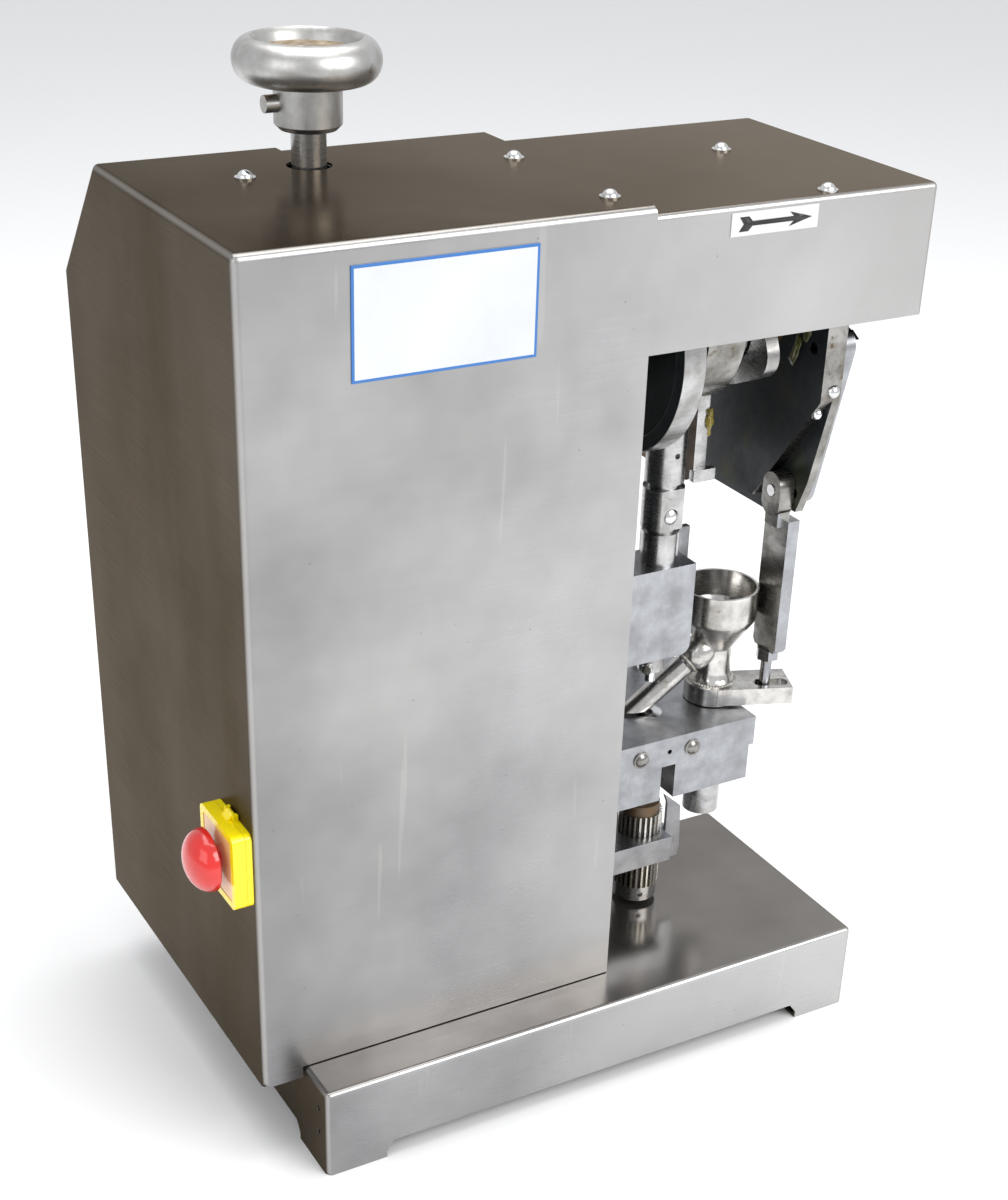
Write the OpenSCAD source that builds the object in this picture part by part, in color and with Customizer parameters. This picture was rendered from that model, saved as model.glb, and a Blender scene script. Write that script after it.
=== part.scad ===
// Single-punch tablet press: a motor, a worm gear and a handwheel turn the main shaft,
// whose eccentric drives the upper punch, while two cams move the feed hopper and the lower punch.
// The frame stands on z = 0 with +x towards the working end and -y towards the operator.

/* [Base] */
// Left edge of the base plinth
base_x0 = -229; // [-235:1:-225]
// Right edge of the base plinth
base_x1 = 306; // [300:1:315]
// Front edge of the base plinth
base_y0 = -201; // [-205:1:-195]
// Back edge of the base plinth
base_y1 = 34; // [32:1:36]
// Height of the base top
base_h = 85; // [85:1:85]
// Thickness of the folded base sheet
base_t = 3; // [2:0.5:4]
// Height of the skirt's lower edge above the floor
skirt_z = 16; // [12:1:20]
// Width of each corner foot
foot_w = 55; // [45:1:65]

/* [Covers] */
// Left face of the rear cover
cover_x0 = -265; // [-268:1:-262]
// Right face of the rear cover
cover_x1 = 65; // [65:1:66]
// Front face of the rear cover
cover_y0 = -158; // [-160:1:-158]
// Back face of the rear cover
cover_y1 = 102; // [102:1:104]
// Top of the rear cover
cover_h = 760; // [760:1:760]
// Thickness of the cover sheet
sheet = 2; // [1.5:0.5:2]
// Back face of the motor bulge
bulge_y1 = 201; // [200:1:203]
// Right end of the head cover
head_x1 = 329; // [325:1:332]
// Lower edge of the head cover
head_z0 = 648; // [645:1:650]
// Top of the head cover
head_z1 = 753; // [753:1:754]

/* [Press line] */
// Press axis, distance along x
press_x = 155; // [154:0.5:156]
// Shared y of the press axis and the main shaft
work_y = -61.5; // [-62:0.5:-61]
// Height of the main shaft axis
shaft_z = 630; // [629:0.5:631]
// Throw of the eccentric, half of the ram stroke
throw = 15.5; // [12:0.5:15.5]
// Radius of the ram
ram_r = 16; // [15:0.5:16]
// Radius of both punches
punch_r = 5; // [3:0.5:5]

/* [Table and hopper] */
// Top of the die table
table_z = 281; // [281:1:281]
// Hopper pivot, distance along x
hopper_x = 223; // [222:1:224]
// Radius of the hopper cup
cup_r = 35; // [32:1:36]
// Rim height of the hopper cup
cup_z = 392; // [388:1:396]
// Swing of the feed arm away from +x at rest
arm_angle = -21; // [-22:1:-20]

/* [Drive] */
// Worm shaft and handwheel, distance along x
worm_x = -115; // [-116:1:-114]
// Worm shaft and handwheel, y
worm_y = 50; // [49:1:50]
// Teeth on the worm wheel
worm_teeth = 25; // [20:1:30]
// Outer radius of the handwheel
handwheel_r = 56; // [50:1:60]
// Top of the handwheel
handwheel_z = 853; // [845:1:860]
// Radius of the flywheel
flywheel_r = 91.5; // [85:0.5:91.5]
// Motor axis, distance along x
motor_x = -190; // [-192:1:-188]
// Motor axis, y
motor_y = 150; // [148:1:152]

/* [Emergency stop] */
// Side of the square switch box
stop_side = 66; // [60:1:70]
// Centre of the switch, y
stop_y = -120; // [-125:1:-115]
// Centre of the switch, height
stop_z = 284; // [270:1:300]
// Tip of the red mushroom
stop_tip = -308; // [-310:1:-306]

/* [Hidden] */
$fn = 72;

steel = "#9a9a98"; dark_steel = "#3a3c3d"; cast = "#1d2022"; sheet_grey = "#8d8a86"; alu = "#c9c6bf";
fit = 0.05;                     // radial clearance of a running fit
gap = 0.3;                      // gap between other moving faces
stroke = 2 * throw;
column_x1 = 58;                 // working face of the column
column_x0 = 26;                 // back of the column flange
shaft_r = 20;
eccentric_r = 36;
strap_r = 70;
strap_bore = eccentric_r + throw + 0.5;
rest_strap_z = shaft_z + throw;
head_y0 = cover_y0 + sheet + gap;
head_y1 = cover_y1 - sheet - gap;
spindle_r = 9;
hopper_spindle_r = 8;
lift_x = 211;                   // lift rod axis
lift_y = 39;
lift_rod_r = 7;
lift_bar_z0 = 135;
lift_bar_z1 = 160;
lever_top = [-122, 620];        // upper pivot of the feed lever, y and z
lever_low = [-91, 487.5];       // lower pivot of the feed lever
rod_x = 262;
pulley_z = 510;
pulley_h = 14;
driven_r = 24;
motor_pulley_r = 12;
belt_t = 4;
origin_x = (head_x1 + stop_tip) / 2;
handwheel_hub_z = 787;

// ---- helpers ---------------------------------------------------------------

// The drawing's x = 0 is the plate above the base; the part's origin is the centre of its outline.
module placed() translate([-origin_x, 0, 0]) children();
module box(low, high) translate(low) cube(high - low);
module cyl_x(r, x0, x1, y, z) translate([x0, y, z]) rotate([0, 90, 0]) cylinder(r = r, h = x1 - x0);
module cyl_y(r, y0, y1, x, z) translate([x, y0, z]) rotate([-90, 0, 0]) cylinder(r = r, h = y1 - y0);
module cyl_z(r, z0, z1, x, y) translate([x, y, z0]) cylinder(r = r, h = z1 - z0);
// A plate whose outline is given in y and z, from x0 to x1.
module plate_yz(x0, x1) translate([x0, 0, 0]) rotate([90, 0, 90]) linear_extrude(x1 - x0) children();
// A plate whose outline is given in x and z, from y0 to y1.
module plate_xz(y0, y1) translate([0, y1, 0]) rotate([90, 0, 0]) linear_extrude(y1 - y0) children();
// Low domed screw head on its shank; the head rises along +z from 0.
module dome_screw(r, h, shank_r, shank_l) {
    ball = (r * r + h * h) / (2 * h);
    intersection() {
        translate([0, 0, h - ball]) sphere(r = ball);
        cylinder(r = r, h = h);
    }
    translate([0, 0, -shank_l]) cylinder(r = shank_r, h = shank_l);
}
// Hexagonal bolt head, across flats af, on its shank.
module hex_bolt(af, h, shank_r, shank_l) {
    cylinder(r = af / sqrt(3), h = h, $fn = 6);
    translate([0, 0, -shank_l]) cylinder(r = shank_r, h = shank_l);
}
// Outline round two circles that lie d apart along x, with its straight sides tangent to both.
module tangent_pair(r1, r2, d) {
    a = acos((r1 - r2) / d);
    steps = 24;
    function arc(r, from, to) = [for (i = [0 : steps]) r * [cos(from + (to - from) * i / steps),
        sin(from + (to - from) * i / steps)]];
    polygon(concat(arc(r1, a, 360 - a), [for (p = arc(r2, -a, a)) p + [d, 0]]));
}
// Toothed outline: n trapezoid teeth between two radii.
module toothed(n, r_root, r_tip) {
    step = 360 / n;
    polygon([for (i = [0 : n - 1]) for (k = [[0, r_root], [0.2, r_tip], [0.5, r_tip], [0.7, r_root]])
        k[1] * [cos((i + k[0]) * step), sin((i + k[0]) * step)]]);
}

// ---- frame -----------------------------------------------------------------

// Opening under one side of the skirt between two feet, in a plane along that side.
module skirt_opening(from, to) {
    step = 7;
    polygon([[from, -1], [from, step], [from + step, skirt_z], [to - step, skirt_z], [to, step], [to, -1]]);
}
module base_plinth() color(sheet_grey) {
    inner0 = [base_x0 + base_t, base_y0 + base_t, -1];
    inner1 = [base_x1 - base_t, base_y1 - base_t, base_h - base_t];
    difference() {
        box([base_x0, base_y0, 0], [base_x1, base_y1, base_h]);
        box(inner0, inner1);
        plate_xz(base_y0 - 1, base_y1 + 1) skirt_opening(base_x0 + foot_w, base_x1 - foot_w);
        plate_yz(base_x0 - 1, base_x1 + 1) skirt_opening(base_y0 + foot_w, base_y1 - foot_w);
        for (z = [38, 62]) cyl_x(2.5, base_x0 - 1, base_x0 + base_t + 1, base_y0 + 16, z);
    }
    for (x = [base_x0 + base_t, base_x1 - foot_w], y = [base_y0 + base_t, base_y1 - foot_w])
        box([x, y, 0], [x + foot_w - base_t, y + foot_w - base_t, base_t]);
}
module frame_column() color(cast) difference() {
    union() {
        box([column_x0, -110, base_h], [column_x1, 28, 480]);
        box([column_x0, -110, 480], [column_x1, 85, 722]);
        box([column_x0, -110, 722], [50, 52, cover_h - sheet - 4]);
        box([-60, work_y - 14, base_h], [column_x0, work_y + 14, 602]);
        box([-80, -110, base_h], [column_x0, 20, base_h + 20]);
        cyl_x(36, -60, column_x0, work_y, shaft_z);
    }
    cyl_x(shaft_r + 4, -61, column_x1 + 1, work_y, shaft_z);
}
module head_beam() color(cast) box([column_x1, 55, 650], [250, 85, 722]);
module top_plate() color(cast) difference() {
    box([-190, -150, cover_h - sheet - 4], [column_x1 - 7, 60, cover_h - sheet]);
    cyl_z(17.7, 700, 800, worm_x, worm_y);
    for (p = rear_screws) cyl_z(3, 700, 800, p[0], p[1]);
}
module inner_bearing_plate() color("#4a3a2c") difference() {
    union() {
        plate_yz(190, 202)
            polygon([[-53, 499], [-50, 493], [-44, 489], [-30, 487], [30, 487], [55, 600], [55, 722],
                [-53, 722]]);
        cyl_x(34, 187, 203.5, work_y, shaft_z);
    }
    cyl_x(shaft_r + 4, 180, 210, work_y, shaft_z);
}
module bearing_shoe() color(steel) box([186, -60, 492.5], [209, -53, 503]);
module end_plate() color(cast) difference() {
    union() {
        plate_yz(250, 262)
            polygon([[-138, 751], slope_top, slope_end, [75, 472], [85, 560], [85, 751]]);
        plate_yz(262, 270) polygon([[-138, 751], slope_top, [-118, 500], [-106, 470], [-70, 470],
            [-62, 458], [75, 458], [85, 560], [85, 751]]);
        box([215, -150, 745], [250, 90, 751]);
        box([202, 25, 604], [224, 55, 624]);
        box([202, 55, 604], [250, 85, 650]);
        cyl_x(40, 247.5, 250, work_y, shaft_z);
    }
    cyl_x(shaft_r + 4, 240, 280, work_y, shaft_z);
    cyl_z(lift_rod_r + fit, 600, 630, lift_x, lift_y);
    for (p = head_screws) cyl_z(3, 700, 760, p[0], p[1]);
    cyl_y(3, -139, -120, 262, 587);
    translate(slope_screw) rotate([slope_tilt, 0, 0]) cyl_z(3, -12, 3, 0, 0);
    plate_yz(261, 271) translate(lever_low) rotate(189.5) tangent_pair(6, 5.9, 9.2);
    cyl_x(5, 249, 271, lever_top[0], lever_top[1]);
}
slope_top = [-138, 579];        // upper end of the end plate's sloping edge, y and z
slope_end = [-60, 472];
slope_run = slope_top - slope_end;
slope_tilt = 180 - atan2(slope_run[1], -slope_run[0]);
slope_screw = [256, slope_top[0] + 10, slope_top[1] + 10 * slope_run[1] / slope_run[0]];
// Two domed screws on the end plate's front edges.
module end_plate_screws() color(steel) {
    translate([262, -138, 587]) rotate([90, 0, 0]) dome_screw(6, 4.5, 3, 10);
    translate(slope_screw) rotate([slope_tilt, 0, 0]) dome_screw(5.2, 4.2, 3, 10);
}
// Bearing bushes in the column, the inner bearing plate and the end plate.
module shaft_bushes() color("#b08d4c") for (x = [[-60, -30], [28, 58], [187, 203.5], [247.5, 270]])
    difference() {
        cyl_x(shaft_r + 4, x[0], x[1], work_y, shaft_z);
        cyl_x(shaft_r + fit, x[0] - 1, x[1] + 1, work_y, shaft_z);
    }

// ---- covers ----------------------------------------------------------------

rear_screws = [[-175.6, 30.4], [41.8, 12], [46.1, -122]];
head_screws = [[230.7, 1], [228.5, -144]];

module bulge_outline(t) {
    polygon([[cover_y1 - t - 1, 70], [bulge_y1 - t, 70], [bulge_y1 - t, 660 - 0.4 * t],
        [113 - 0.4 * t, cover_h - t], [cover_y1 - t - 1, cover_h - t]]);
}
module rear_cover() color(sheet_grey) {
    difference() {
        union() {
            box([cover_x0, cover_y0, 75], [cover_x1, cover_y1, cover_h]);
            intersection() {
                plate_yz(cover_x0, worm_x) bulge_outline(0);
                box([cover_x0, 0, 75], [worm_x, 300, cover_h]);
            }
        }
        box([cover_x0 + sheet, cover_y0 + sheet, 74], [cover_x1 - sheet, cover_y1 - sheet, cover_h - sheet]);
        plate_yz(cover_x0 + sheet, worm_x - sheet) bulge_outline(sheet);
        box([base_x0 - 1, cover_y0 - 1, 74], [cover_x1 + 1, base_y1 + 2, base_h + 1]);
        box([cover_x1 - sheet - 1, -125, base_h + 1], [cover_x1 + 1, 25, head_z0 - 2]);
        box([cover_x1 - sheet - 1, cover_y0 + sheet, head_z0 - 2.1],
            [cover_x1 + 1, cover_y1 - sheet, head_z1 + gap]);
        cyl_z(17.7, 700, 800, worm_x, worm_y);
        for (p = rear_screws) cyl_z(3, 700, 800, p[0], p[1]);
        cyl_x(2, cover_x0 - 1, cover_x0 + sheet + 1, stop_y, stop_z);
        cyl_x(8, worm_x - sheet - 1, worm_x + 1, 150, 130);
    }
}
// Sheet that closes the parts of the cover that stand out past the base.
module cover_floor() color(sheet_grey) translate([0, 0, 76]) linear_extrude(2)
    polygon([[cover_x0 + sheet, cover_y0 + sheet], [base_x0 - 3, cover_y0 + sheet],
        [base_x0 - 3, base_y1 + 3], [cover_x1 - sheet, base_y1 + 3], [cover_x1 - sheet, cover_y1 - sheet],
        [worm_x - sheet, cover_y1 - sheet], [worm_x - sheet, bulge_y1 - sheet],
        [cover_x0 + sheet, bulge_y1 - sheet]]);
module head_cover() color(sheet_grey) difference() {
    box([52, head_y0, head_z0], [head_x1, head_y1, head_z1]);
    box([51, head_y0 + sheet, head_z0 - 1], [head_x1 - sheet, head_y1 - sheet, head_z1 - sheet]);
    for (p = head_screws) cyl_z(3, 700, 760, p[0], p[1]);
}
module washer_screw(shank_l) {
    cylinder(r = 8, h = 1.2);
    translate([0, 0, 1.2]) dome_screw(6.2, 4.8, 3, shank_l + 1.2);
}
module cover_screws() color(steel) {
    for (p = rear_screws) translate([p[0], p[1], cover_h]) washer_screw(6);
    for (p = head_screws) translate([p[0], p[1], head_z1]) washer_screw(8);
}
module label_plate() color("white") box([-180, cover_y0 - 1, 662], [-33, cover_y0, 744]);
module arrow_plate() color("white") box([132, head_y0 - 0.8, 730], [212, head_y0, 747.5]);
module cable_gland() color(cast) difference() {
    union() {
        cyl_x(8, worm_x - 10, worm_x, 150, 130);
        translate([worm_x, 150, 130]) rotate([0, 90, 0]) cylinder(r = 13, h = 8, $fn = 6);
        cyl_x(10, worm_x + 8, worm_x + 20, 150, 130);
    }
    cyl_x(4, worm_x - 11, worm_x + 21, 150, 130);
}

// ---- die table and press guide ---------------------------------------------

module die_table() color(steel) difference() {
    union() {
        box([column_x1, -113, 253], [238, 20, table_z]);
        box([column_x1, -112, 218.5], [140, 15, 253]);
        box([154.5, -112, 218.5], [234, 15, 253]);
        box([198, 20, 253], [224, 54, 275]);
    }
    cyl_z(13.5, 257, 300, press_x, work_y);
    cyl_z(12, 210, 258, press_x, work_y);
    cyl_z(hopper_spindle_r + fit, 210, 300, hopper_x, work_y);
    cyl_z(lift_rod_r + fit, 250, 280, lift_x, lift_y);
    for (x = [117, 170.6]) cyl_y(3, -114, -100, x, 266);
    cyl_y(2.2, -114, -100, 146.7, 267);
}
module table_screws() color(steel) for (x = [117, 170.6]) translate([x, -113, 266]) rotate([90, 0, 0]) {
    cylinder(r = 8, h = 1.2);
    translate([0, 0, 1.2]) dome_screw(6.5, 3, 3, 13.2);
}
module die() color(alu) difference() {
    cyl_z(13.5, 257, table_z, press_x, work_y);
    cyl_z(punch_r + fit, 250, 290, press_x, work_y);
}
module spindle_bush() color("#b08d4c") difference() {
    cyl_z(12, 219, 255, press_x, work_y);
    cyl_z(spindle_r + fit, 210, 260, press_x, work_y);
}
module guide_block() color("#a9abb0") difference() {
    union() {
        plate_xz(-81, -35) {
            polygon([[column_x1, 342], [171.5, 342], [171.5, 352], [181.5, 352], [181.5, 428],
                [column_x1, 428]]);
            translate([171.5, 352]) circle(r = 10);
        }
        box([174, -36, 400], [204, -30, 441.5]);
    }
    cyl_z(ram_r + fit, 300, 500, press_x, work_y);
}
module oil_nipple() color("#d6d6cf") translate([124, -52, 428]) {
    cylinder(r = 6, h = 5, $fn = 6);
    cylinder(r = 4, h = 11);
    translate([0, 0, 11]) sphere(r = 3);
}

// ---- drive -----------------------------------------------------------------

// Two bearing arms from the column to the worm shaft.
module worm_brackets() color(cast) for (z = [550, 684]) difference() {
    union() {
        box([worm_x, 32, z], [column_x0, 52, z + 20]);
        cyl_z(20, z, z + 20, worm_x, worm_y);
    }
    cyl_z(13.5 + fit, z - 1, z + 21, worm_x, worm_y);
}
module motor_bracket() color(cast) difference() {
    box([motor_x - 46, 30, 490], [column_x0, motor_y + 46, 498]);
    box([worm_x - 25, cover_y1 - 20, 489], [column_x0 + 1, 300, 499]);
    cyl_z(14, 480, 500, motor_x, motor_y);
}
module motor() color("#2c3a55") {
    cyl_z(44, 300, 482, motor_x, motor_y);
    cyl_z(36, 482, 490, motor_x, motor_y);
    for (a = [0 : 30 : 330]) translate([motor_x, motor_y, 320]) rotate([0, 0, a])
        translate([43.5, -1.5, 0]) cube([2.5, 3, 150]);
}
// Closed belt round the two pulleys, just off their rims.
module drive_belt() color("#151515") {
    span = sqrt(pow(motor_x - worm_x, 2) + pow(motor_y - worm_y, 2));
    translate([worm_x, worm_y, pulley_z + 3]) rotate([0, 0, atan2(motor_y - worm_y, motor_x - worm_x)])
        linear_extrude(pulley_h - 6) difference() {
            tangent_pair(driven_r + belt_t, motor_pulley_r + belt_t, span);
            tangent_pair(driven_r + gap, motor_pulley_r + gap, span);
        }
}
module main_shaft() color(steel) cyl_x(shaft_r, -150, 283, work_y, shaft_z);
module eccentric() color(steel) difference() {
    cyl_x(eccentric_r, 139, 175, work_y, shaft_z + throw);
    cyl_x(shaft_r, 130, 180, work_y, shaft_z);
}
module flywheel() color(cast) difference() {
    union() {
        difference() {
            cyl_x(flywheel_r, 102, 123, work_y, shaft_z);
            for (x = [[101, 106], [119, 124]]) cyl_x(flywheel_r - 12, x[0], x[1], work_y, shaft_z);
        }
        cyl_x(32, 100, 126, work_y, shaft_z);
    }
    cyl_x(shaft_r, 90, 130, work_y, shaft_z);
}
module worm_wheel() color("#b08d4c") difference() {
    union() {
        plate_yz(-125, -105) translate([work_y, shaft_z]) toothed(worm_teeth, 83, 89);
        cyl_x(34, -135, -95, work_y, shaft_z);
    }
    cyl_x(shaft_r, -160, -80, work_y, shaft_z);
}
// Cam whose nose lifts the lower punch on the return half of the turn.
module lift_cam() color(steel) difference() {
    plate_yz(205, 217) translate([work_y, shaft_z]) rotate(200) tangent_pair(50, 20, 42);
    cyl_x(shaft_r, 200, 220, work_y, shaft_z);
}
module feed_cam() color(steel) difference() {
    cyl_x(39.3, 272, 281, work_y, shaft_z + 1.9);
    cyl_x(shaft_r, 270, 290, work_y, shaft_z);
}
module worm_shaft() color(steel) {
    cyl_z(13.5, 504, 600, worm_x, worm_y);
    cyl_z(13.5, 660, handwheel_z - 10, worm_x, worm_y);
    difference() {
        cyl_z(driven_r, pulley_z, pulley_z + pulley_h, worm_x, worm_y);
        cyl_z(13.5, 500, 530, worm_x, worm_y);
    }
}
// Worm with its helical thread.
module worm() color(steel) {
    cyl_z(15, 600, 660, worm_x, worm_y);
    translate([worm_x, worm_y, 602]) linear_extrude(56, twist = -900, slices = 36)
        translate([4, 0]) circle(r = 16, $fn = 16);
}
// Half-round rim with a deep recess in its top.
module handwheel() color(alu) translate([worm_x, worm_y, 0]) difference() {
    rim_r = 14;
    union() {
        rotate_extrude($fn = 96) polygon(concat(
            [[13.5, handwheel_hub_z], [22, handwheel_hub_z], [26, handwheel_hub_z + 4],
             [26, handwheel_z - 32]],
            [for (a = [-90 : 10 : 90])
                [handwheel_r - rim_r + rim_r * cos(a), handwheel_z - 16 + 16 * sin(a)]],
            [[handwheel_r - rim_r - 2, handwheel_z - 2], [handwheel_r - rim_r - 5, handwheel_z - 9],
             [13.5, handwheel_z - 9]]));
        cyl_x(6.5, -36, -20, 0, 807);
    }
    cylinder(r = 13.5, h = handwheel_z);
}
module motor_pulley() color(steel) {
    cyl_z(7, 491, 528, motor_x, motor_y);
    difference() {
        cyl_z(motor_pulley_r, pulley_z, pulley_z + pulley_h, motor_x, motor_y);
        cyl_z(7, 500, 530, motor_x, motor_y);
    }
}

// ---- press line ------------------------------------------------------------

module eccentric_strap() color(steel) difference() {
    cyl_x(strap_r, 139, 175, work_y, rest_strap_z);
    cyl_x(strap_bore, 130, 180, work_y, rest_strap_z);
}
module conrod() color(steel) difference() {
    cyl_z(17, 502, 600, press_x, work_y);
    cyl_x(strap_r, 130, 180, work_y, rest_strap_z);
    cyl_y(2.5, work_y - 20, work_y - 10, press_x, 528);
}
module conrod_bolt() color(steel) translate([press_x, work_y - 14.5, 473]) rotate([90, 0, 0])
    dome_screw(7, 3, 5, 6);
module ram() color(steel) {
    cyl_z(ram_r, 342, 457, press_x, work_y);
    cyl_z(11.5, 325, 342, press_x, work_y);
    cyl_z(13, 457, 461, press_x, work_y);
    difference() {
        cyl_z(18, 461, 497, press_x, work_y);
        for (s = [-1, 1]) box([press_x - 30, work_y + (s > 0 ? 14.5 : -34.5), 455],
            [press_x + 30, work_y + (s > 0 ? 34.5 : -14.5), 500]);
        cyl_y(5, work_y - 20.5, work_y - 8.5, press_x, 473);
    }
    cyl_z(13.5, 497, 502, press_x, work_y);
}
module punch_screw() color("#d9d9d6") translate([press_x, work_y, 331]) rotate([0, 0, -135])
    difference() {
        rotate([0, 90, 0]) cylinder(r = 5.2, h = 18.5, $fn = 6);
        translate([0, 0, -20]) cylinder(r = 11.5, h = 40);
    }
module upper_punch() color(alu) cyl_z(punch_r, 313, 325, press_x, work_y);

// ---- feed ------------------------------------------------------------------

// Lever bar outside the end plate with the follower arm that reaches under the feed cam.
module feed_lever() color(steel) difference() {
    d = lever_low - lever_top;
    union() {
        plate_yz(270.5, 281) {
            translate(lever_top) rotate(atan2(d[1], d[0])) tangent_pair(15, 15, norm(d));
            polygon([[-112, 580], [-108, 566], [-54, 566], [-54, 578], [-69, 578], [-95, 590]]);
        }
        cyl_x(9, 272, 281, work_y, shaft_z - 47);
    }
    for (p = [lever_top, lever_low]) cyl_x(5, 260, 290, p[0], p[1]);
}
// Square rod hanging from its eye on the lever, with the nut and the pin below it.
module feed_rod() color(steel) {
    difference() {
        union() {
            plate_yz(246, 261.5) translate([lever_low[0], 477]) rotate(90) tangent_pair(12.5, 12.5, 14);
            box([249, lever_low[0] - 9, 455], [261.5, lever_low[0] + 9, 478]);
            box([257, -105.5, 338], [269, -72.5, 461]);
            plate_yz(257, 269) polygon([[-102.5, 334], [-75.5, 334], [-72.5, 338], [-105.5, 338]]);
        }
        cyl_x(5, 240, 270, lever_low[0], lever_low[1]);
    }
    translate([rod_x, -89, 324]) cylinder(r = 10.4, h = 10, $fn = 6);
    cyl_z(5, 285, 324, rod_x, -89);
}
// Hexagonal pivot bolts at both ends of the lever.
module feed_bolts() color(steel) for (p = [lever_top, lever_low])
    translate([281, p[0], p[1]]) rotate([0, 90, 0]) hex_bolt(19, 7, 5, p == lever_top ? 11 : 36);
// Outer profile of the hopper, from its base ring up to the rim.
hopper_side = [[24.5, 282], [24.5, 299], [21, 300.5], [17.8, 304], [16, 310], [15.5, 333], [cup_r - 1, 362],
    [cup_r, 366], [cup_r, cup_z]];
module hopper() color(alu) translate([hopper_x, work_y, 0]) difference() {
    rotate_extrude($fn = 96) polygon(concat([[hopper_spindle_r, 282]], hopper_side,
        [[cup_r - 2.5, cup_z], [cup_r - 2.5, 367], [11, 337], [11, 320], [0, 314], [0, 300],
         [hopper_spindle_r, 300]]));
    translate([-hopper_x, -work_y, 0]) tube_line() cylinder(r = 7.5, h = norm(elbow - mouth) + 8);
}
// The feed tube's axis, from the mouth on the table up to the hopper's neck.
mouth = [146, -56, table_z + 3];
elbow = [212, -61.5, 334];
module tube_line() {
    run = elbow - mouth;
    translate(mouth) rotate([0, 0, atan2(run[1], run[0])])
        rotate([0, 90 - atan2(run[2], norm([run[0], run[1]])), 0]) children();
}
module feed_tube() color(alu) difference() {
    tube_line() difference() {
        union() {
            translate([0, 0, -20]) cylinder(r = 10, h = 98);
            translate([0, 0, 72]) sphere(r = 14.6);
        }
        translate([0, 0, -21]) cylinder(r = 7.5, h = 100);
    }
    box([100, -100, 200], [250, 0, mouth[2]]);
    translate([hopper_x, work_y, 0]) rotate_extrude($fn = 96)
        polygon(concat([[0, 282]], hopper_side, [[0, cup_z]]));
}
// Slotted arm that the feed rod's pin swings.
module hopper_arm() color(alu) translate([hopper_x, work_y, 0]) rotate([0, 0, arm_angle]) difference() {
    box([0, -25, 283], [70, 13, 299]);
    cyl_z(24.5, 280, 300, 0, 0);
    for (d = [43, 61]) cyl_z(6.8, 280, 300, d, -12.2);
    box([43, -19, 280], [61, -5.4, 300]);
}
module hopper_spindle() color(steel) {
    cyl_z(hopper_spindle_r, 200, 300, hopper_x, work_y);
    difference() {
        cyl_z(16.5, 165, 218, hopper_x, work_y);
        cyl_z(hopper_spindle_r, 200, 230, hopper_x, work_y);
    }
}

// ---- lower punch -----------------------------------------------------------

module lift_bar() color(steel) difference() {
    union() {
        translate([0, 0, lift_bar_z0]) linear_extrude(lift_bar_z1 - lift_bar_z0)
            polygon([[100, -91], [173, -91], [173, -40], [222, 30], [222, 50], [200, 50], [150, -32],
                [100, -32]]);
        box([173, -66, 141], [184, -54, 155]);
        plate_xz(-70, -66) polygon([[176, 193], [195, 176], [197.6, 130.6], [195.6, 122], [181, 122],
            [179.8, 136], [179.8, 183]]);
    }
    cyl_z(spindle_r, 130, 170, press_x, work_y);
    cyl_z(lift_rod_r, 130, 170, lift_x, lift_y);
}
// Rod that carries the lift bar up and down, with the cam roller on its top arm.
module lift_rod() color(steel) {
    cyl_z(lift_rod_r, 130, 690, lift_x, lift_y);
    box([204, 31, 690], [228, 47, 706]);
    box([219, work_y - 8, 682], [228, 31, 700]);
    cyl_x(8, 206.5, 216, work_y, shaft_z + 50 + 8.4);
    cyl_x(3, 216, 219, work_y, shaft_z + 50 + 8.4);
}
module lower_punch() color(steel) {
    cyl_z(spindle_r, 104, 240, press_x, work_y);
    cyl_z(punch_r, 240, 269.5, press_x, work_y);
    difference() {
        cyl_z(20, 90, 104, press_x, work_y);
        cyl_y(2.5, work_y - 22, work_y - 14, press_x - 6, 97);
    }
}
// Serrated ring turned by hand, with a plain hub.
module serrated_ring(z0, z1, hub_r, hub_z0, hub_z1) translate([press_x, work_y, 0]) difference() {
    union() {
        translate([0, 0, z0]) linear_extrude(z1 - z0) toothed(48, 19.5, 21.2);
        translate([0, 0, hub_z0]) cylinder(r = hub_r, h = hub_z1 - hub_z0);
    }
    translate([0, 0, 50]) cylinder(r = spindle_r + fit, h = 200);
}
module upper_ring() color(dark_steel)
    serrated_ring(lift_bar_z1 + gap, 181, 18, 181, 190);
module lower_ring() color(dark_steel)
    serrated_ring(104 + gap, 128, 14, 128, lift_bar_z0 - gap);

// ---- emergency stop --------------------------------------------------------

half = stop_side / 2;
lid_x1 = cover_x0 - 5 - gap;    // back of the flip lid
lid_x0 = lid_x1 - 10.5;         // front of the flip lid

hinge_x = cover_x0 - 3;         // hinge pin of the flip lid
hinge_z = stop_z + half + 3;
// Outline of the square switch layers, with rounded corners.
module stop_outline(inset, r) {
    c = half - inset - r;
    translate([stop_y, stop_z]) polygon([for (k = [0 : 3]) for (a = [0 : 15 : 90])
        [(k == 0 || k == 3 ? c : -c) + r * cos(90 * k + a), (k < 2 ? c : -c) + r * sin(90 * k + a)]]);
}
module estop_base() color("#e6c400") difference() {
    union() {
        plate_yz(cover_x0 - 5, cover_x0) stop_outline(0, 6);
        for (y = [-9, 6]) box([cover_x0 - 5, stop_y + y, stop_z + half - 3],
            [cover_x0 - 0.6, stop_y + y + 3, hinge_z + 2.5]);
    }
    for (y = [0, 20]) cyl_x(7 + 0.1, cover_x0 - 6, cover_x0 - 1.5, stop_y + y, stop_z);
    cyl_y(1.2 + fit, stop_y - 10, stop_y + 10, hinge_x, hinge_z);
}
module push_button(y) cyl_x(7, cover_x0 - 9, cover_x0 - 4, stop_y + y, stop_z);
module start_button() color("#1f8a3b") push_button(20);
module stop_button() color("#c01818") push_button(0);
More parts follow.
